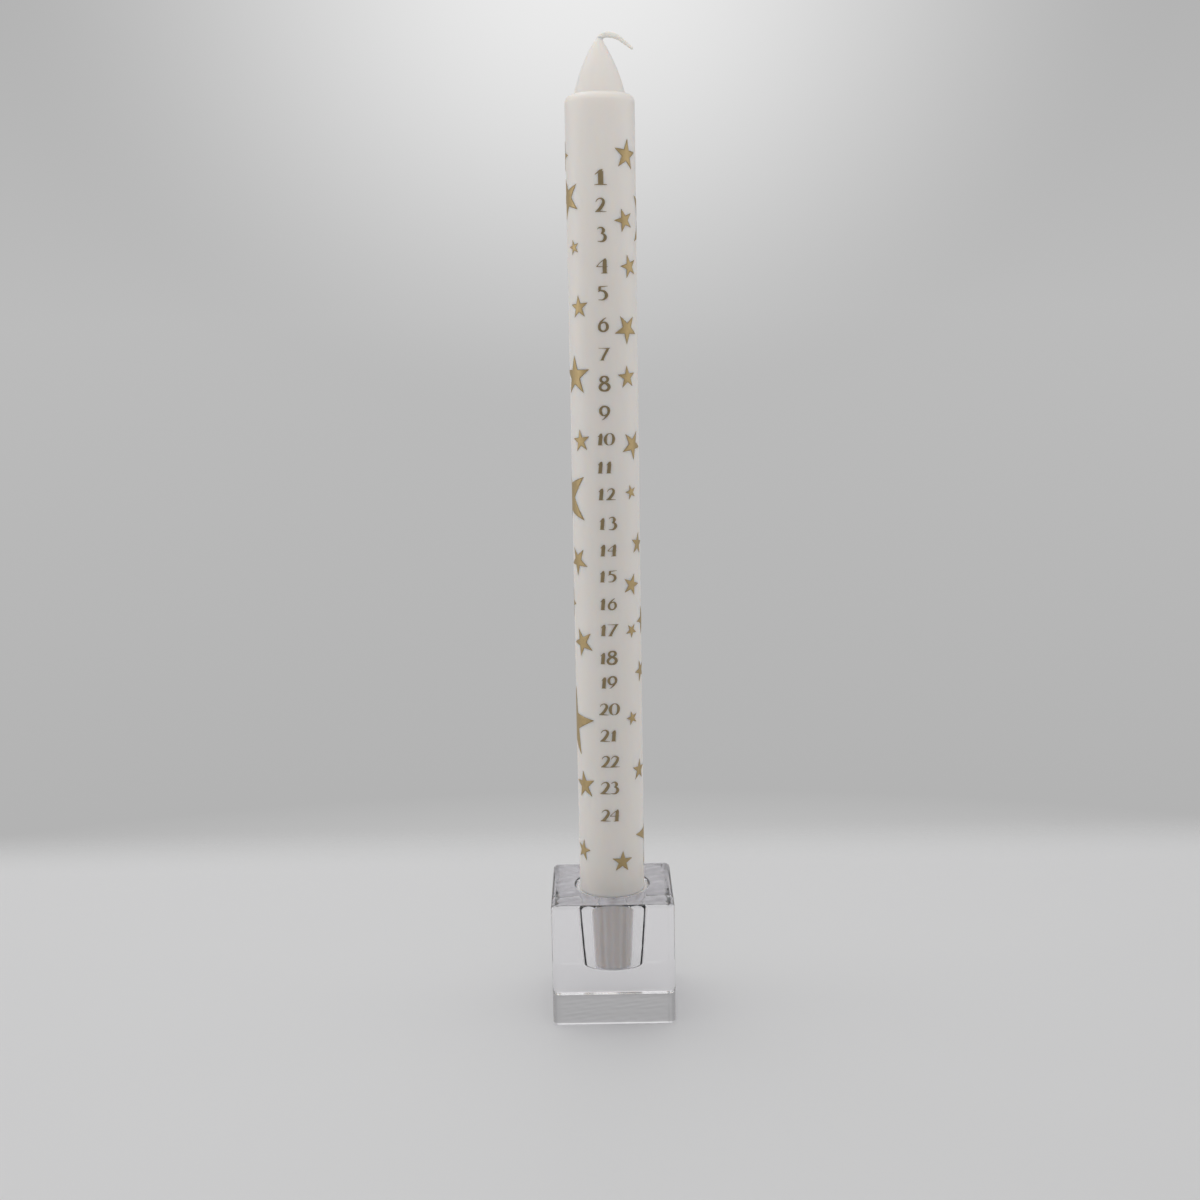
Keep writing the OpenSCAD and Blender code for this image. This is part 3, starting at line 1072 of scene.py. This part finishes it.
@dataclass
class NumberColumn:
    """The numbers 1 to 24, drawn with a pen that is broad down the stems and fine across.

    Each row is a number, from 1 on: its foot's height over the table, its own height, and for each digit how
    far its middle lies to the right.
    """

    pair_slant: float = 0.06
    pen: float = 1.12
    small_one: float = 3.7
    film: PrintFilm = field(default_factory=lambda: PrintFilm("gold_numbers"))
    stroke_lift: float = 0.004
    digit_lift: float = 0.002
    short_rise: float = 0.3
    rows: tuple = (
        (272.9, 4.7, -0.1), (264.8, 4.3, -0.3), (255.7, 4.6, -0.1), (246.2, 4.6, -0.1), (237.9, 4.5, 0.0),
        (228.2, 4.5, 0.0), (219.4, 3.9, 0.2), (209.7, 4.9, 0.05), (200.6, 4.6, 0.0), (192.7, 3.9, -1.5, 1.4),
        (183.8, 3.7, -1.6, 1.15), (175.2, 3.8, -1.5, 1.6), (165.5, 4.3, -1.3, 1.95), (157.0, 3.9, -1.2, 1.7),
        (148.5, 3.9, -1.5, 1.6), (139.4, 3.9, -1.5, 1.5), (130.8, 3.9, -1.5, 1.5), (121.2, 4.7, -1.8, 1.15),
        (113.2, 4.2, -1.6, 1.1), (104.3, 4.0, -1.85, 1.65), (95.3, 4.1, -1.65, 1.35), (86.5, 4.0, -1.5, 1.55),
        (77.3, 4.3, -1.8, 1.3), (67.9, 4.1, -1.85, 1.2),
    )

    def draw(
        self, stroke: tuple, height: float, slant: float, shift: float, foot: float, lift: float
    ) -> None:
        """Draws one stroke as a closed ribbon round the candle.

        The middle line is a smooth curve through the stroke's points. The ribbon reaches to each side of it,
        square to it, by the half width times the pen's weight. The front and the back are the same ribbon at
        two distances from the wax.

        Args:
            stroke: Points and half widths, in shares of the digit's height.
            height: The digit's height.
            slant: How far right a point leans for each share of its height.
            shift: How far right of the front the digit's middle lies.
            foot: Height of the digit's foot over the table.
            lift: Added to the ribbon's height off the wax, so that strokes that cross don't share a surface.
        """
        film = self.film
        fine = smooth_path(np.array(stroke, float), per_span=8)
        ahead = np.gradient(fine[:, :2], axis=0)
        ahead /= np.linalg.norm(ahead, axis=1)[:, None]
        out = np.stack([-ahead[:, 1], ahead[:, 0]], -1)
        across = np.linspace(-1.0, 1.0, 5)[None, :, None]
        flat = fine[:, None, :2] + self.pen * across * fine[:, None, 2:] * out[:, None]
        flat[..., 0] += slant * (flat[..., 1] - 0.5)
        flat *= height
        flat[..., 0] += shift
        front = film.wrap(flat, 0.0, foot, film.front + lift)
        back = film.wrap(flat, 0.0, foot, film.back + lift)
        rings = np.concatenate([front, back[:, ::-1]], axis=1)[:, ::-1]
        film.add(rings, rings[0].mean(axis=0), rings[-1].mean(axis=0))

    def build(self, finish: Material) -> Piece:
        """Builds the whole column. A one that leads or ends a pair is a shorter, plainer one.

        Args:
            finish: The ink.

        Returns:
            The numbers as one piece.
        """
        for number, (foot, height, *shifts) in enumerate(self.rows, 1):
            pair = len(shifts) == 2
            for at, (digit, shift) in enumerate(zip(str(number), shifts)):
                short = pair and digit == "1"
                tall = min(self.small_one, height) if short else height
                low = foot + self.short_rise * (height - tall)
                for layer, stroke in enumerate(DIGITS["i" if short else digit]):
                    lift = self.stroke_lift * layer + self.digit_lift * at
                    self.draw(stroke, tall, self.pair_slant * pair, shift, low, lift)
        return self.film.build(finish)


# The studio


@dataclass(frozen=True)
class SoftBox:
    """A square lamp: its place and aim and its side in millimetres, and its power in watts."""

    name: str
    place: tuple
    size: float
    power: float
    aim: tuple = (0.0, 0.0, 150.0)
    seen_in_glass: bool = True

    def build(self) -> None:
        """Adds the lamp, turned to look at its aim."""
        lamp = bpy.data.lights.new(self.name, "AREA")
        lamp.size = self.size * MM
        lamp.energy = self.power
        holder = bpy.data.objects.new(self.name, lamp)
        bpy.context.scene.collection.objects.link(holder)
        x, y, z = np.array(self.place) - np.array(self.aim)
        holder.visible_transmission = self.seen_in_glass
        holder.location = np.array(self.place) * MM
        holder.rotation_euler = (float(np.arctan2(np.hypot(x, y), z)), 0.0, float(np.arctan2(x, -y)))


@dataclass
class Studio:
    """The pale table, the soft light round it and the camera.

    Each step of the backdrop is the sine of a look's rise and the tone there, and the span is where its scale
    ends. Each dark part of the room is an axis of the look, where along it the dark is full and where it
    ends, and the share of light that is left.
    """

    table_half: float = 1200.0
    table_places: int = 25
    table_drop: float = 0.02
    table_roughness: float = 0.65
    table_shine: float = 0.3
    fade_near: float = 130.0
    fade_far: float = 190.0
    table_colour: tuple = (0.77, 0.77, 0.775, 1.0)
    # The backdrop's tones are painted light and shade: pale by the table, with painted shade just over it.
    backdrop: tuple = ((-0.36, 0.6), (-0.3, 0.45), (0.0, 0.5), (0.2, 0.45))
    backdrop_span: float = 0.4
    # A painted glow of light on the backdrop behind the candle's top, which lights nothing.
    glow_squeeze: tuple = (0.86, 0.3, 1.0)
    glow_middle: tuple = (-0.005, 0.29, 0.23)
    glow_reach: float = 0.3
    glow_strength: float = 0.4
    dark_room: tuple = ("Y", -0.95, -0.35, 0.6)
    dark_top: tuple = ("Z", 0.38, 0.24, 0.7)
    soft_light: float = 0.545
    lamps: tuple = (
        SoftBox("soft_box_top", (-150.0, 350.0, 1100.0), 900.0, 2.8),
        SoftBox("soft_box_left", (-1600.0, 150.0, 450.0), 1000.0, 3.8, seen_in_glass=False),
        SoftBox("soft_box_right", (1600.0, 150.0, 450.0), 1000.0, 2.8, seen_in_glass=False),
        SoftBox("soft_box_near_tip", (0.0, -120.0, 380.0), 120.0, 0.05, (0.0, 0.0, 300.0)),
    )
    lens: float = 46.5
    sensor: float = 36.0
    camera_place: tuple = (-2.5, -504.0, 234.0)
    camera_pitch: float = 10.48
    camera_roll: float = 0.98

    def build_table(self) -> None:
        """Builds the table top, a flat grid that fades into the backdrop's grey behind the candle."""
        count = self.table_places
        span = np.linspace(-self.table_half, self.table_half, count)
        x, y = np.meshgrid(span, span, indexing="ij")
        points = np.stack([x, y, 0 * x - self.table_drop], -1).reshape(-1, 3)
        near = np.arange(count * (count - 1)).reshape(-1, count)[:, :-1].ravel()
        faces = np.stack([near, near + count, near + count + 1, near + 1], -1)
        made = Finish("pale_table", {
            "Base Color": self.table_colour, "Roughness": self.table_roughness,
            "Specular IOR Level": self.table_shine,
        })
        place = made.node("ShaderNodeTexCoord").outputs["Object"]
        depth = made.node("ShaderNodeSeparateXYZ", {0: place}).outputs["Y"]
        shown = made.remap(depth, self.fade_near * MM, self.fade_far * MM, 1.0, 0.0)
        made.feed(made.shader.inputs["Alpha"], shown)
        piece = new_piece("table_top", points, faces.tolist(), made.material)

    def build_sky(self) -> None:
        """Builds the world: the backdrop for what looks at it, and an even soft light for the rest.

        The backdrop is pale low down by the table, darker just over it, and a little lighter half way up,
        with a soft glow behind the candle's top. These tones and the glow are painted light and shade: they
        show to the camera and in the glass, and they light nothing. A mirrored or bent look towards the
        camera's side or high up finds the room there, which is darker.
        """
        world = bpy.data.worlds.new("soft_room")
        bpy.context.scene.world = world
        world.use_nodes = True
        sky = Nodes(world.node_tree)
        look = sky.node("ShaderNodeTexCoord").outputs["Generated"]
        axes = sky.node("ShaderNodeSeparateXYZ", {0: look}).outputs
        span = self.backdrop_span
        # The ramp paints the backdrop's light and shade by the look's rise.
        ramp = sky.node("ShaderNodeValToRGB", {0: sky.remap(axes["Z"], -span, span, 0.0, 1.0, smooth=False)})
        bands = ramp.color_ramp.elements
        while len(bands) < len(self.backdrop):
            bands.new(0.5)
        for band, (at, tone) in zip(bands, self.backdrop):
            band.position = (at + span) / (2 * span)
            band.color = (tone, tone, tone, 1.0)
        # The painted glow is added to the backdrop's tone.
        squeezed = sky.node("ShaderNodeVectorMath", {0: look, 1: self.glow_squeeze}, operation="MULTIPLY")
        ends = {0: squeezed.outputs[0], 1: self.glow_middle}
        away = sky.node("ShaderNodeVectorMath", ends, operation="DISTANCE")
        glow = sky.remap(away.outputs["Value"], 0.0, self.glow_reach, self.glow_strength, 0.0)
        backdrop = sky.mix(1.0, ramp.outputs[0], glow, "ADD")
        room = backdrop
        for axis, full, end, left in (self.dark_room, self.dark_top):
            dim = sky.remap(axes[axis], full, end, left, 1.0)
            room = sky.node("ShaderNodeVectorMath", {0: room, "Scale": dim}, operation="SCALE").outputs[0]
        rays = sky.node("ShaderNodeLightPath").outputs
        light = sky.node("ShaderNodeRGB").outputs[0]
        light.default_value = (self.soft_light, self.soft_light, self.soft_light, 1.0)
        for ray, view in (("Glossy", room), ("Transmission", room), ("Camera", backdrop)):
            light = sky.mix(rays[f"Is {ray} Ray"], light, view)
        shown = sky.node("ShaderNodeBackground", {0: light})
        sky.node("ShaderNodeOutputWorld", {0: shown.outputs[0]})

    def add_camera(self) -> None:
        """Adds the camera where the photograph was taken from."""
        lens = bpy.data.cameras.new("camera")
        lens.lens = self.lens
        lens.sensor_width = self.sensor
        lens.sensor_fit = "HORIZONTAL"
        lens.clip_start = 0.01
        lens.clip_end = 50.0
        camera = bpy.data.objects.new("camera", lens)
        bpy.context.scene.collection.objects.link(camera)
        tilt = Matrix.Rotation(np.radians(90.0 - self.camera_pitch), 3, "X")
        roll = Matrix.Rotation(np.radians(-self.camera_roll), 3, "Z")
        camera.rotation_euler = (tilt @ roll).to_euler()
        camera.location = np.array(self.camera_place) * MM
        bpy.context.scene.camera = camera

    def build(self) -> None:
        """Sets up the table, the light and the camera."""
        self.build_table()
        self.build_sky()
        for lamp in self.lamps:
            lamp.build()
        self.add_camera()
        bpy.context.scene.view_settings.view_transform = "Standard"


def main() -> None:
    """Builds the candle, its holder and the studio, and reports each piece."""
    logging.basicConfig(level=logging.INFO, format="%(name)s: %(message)s")
    speckle = speckle_effect()
    coat_wax = WaxFinish("dipped_wax").build(speckle)
    core_wax = WaxFinish("pressed_wax", depth=3.5, roughness=0.5).build(speckle)
    cotton = CottonFinish("waxed_cotton").build(speckle)
    gold = InkFinish("gold_ink").build(speckle)
    fine_gold = FineInkFinish("fine_gold_ink").build(speckle)
    candle, stars = Candle(), StarScatter()
    pieces = [GlassBlock().build(GlassFinish("clear_glass").build())]
    pieces += [candle.build_core(core_wax), candle.build_coat(coat_wax), Wick().build(cotton)]
    pieces += [stars.build(size, gold) for size in StarSize]
    pieces.append(NumberColumn().build(fine_gold))
    Studio().build()
    for piece in pieces:
        log.info("%s: %d vertices, %d faces", piece.name, len(piece.data.vertices), len(piece.data.polygons))


if __name__ == "__main__":
    main()
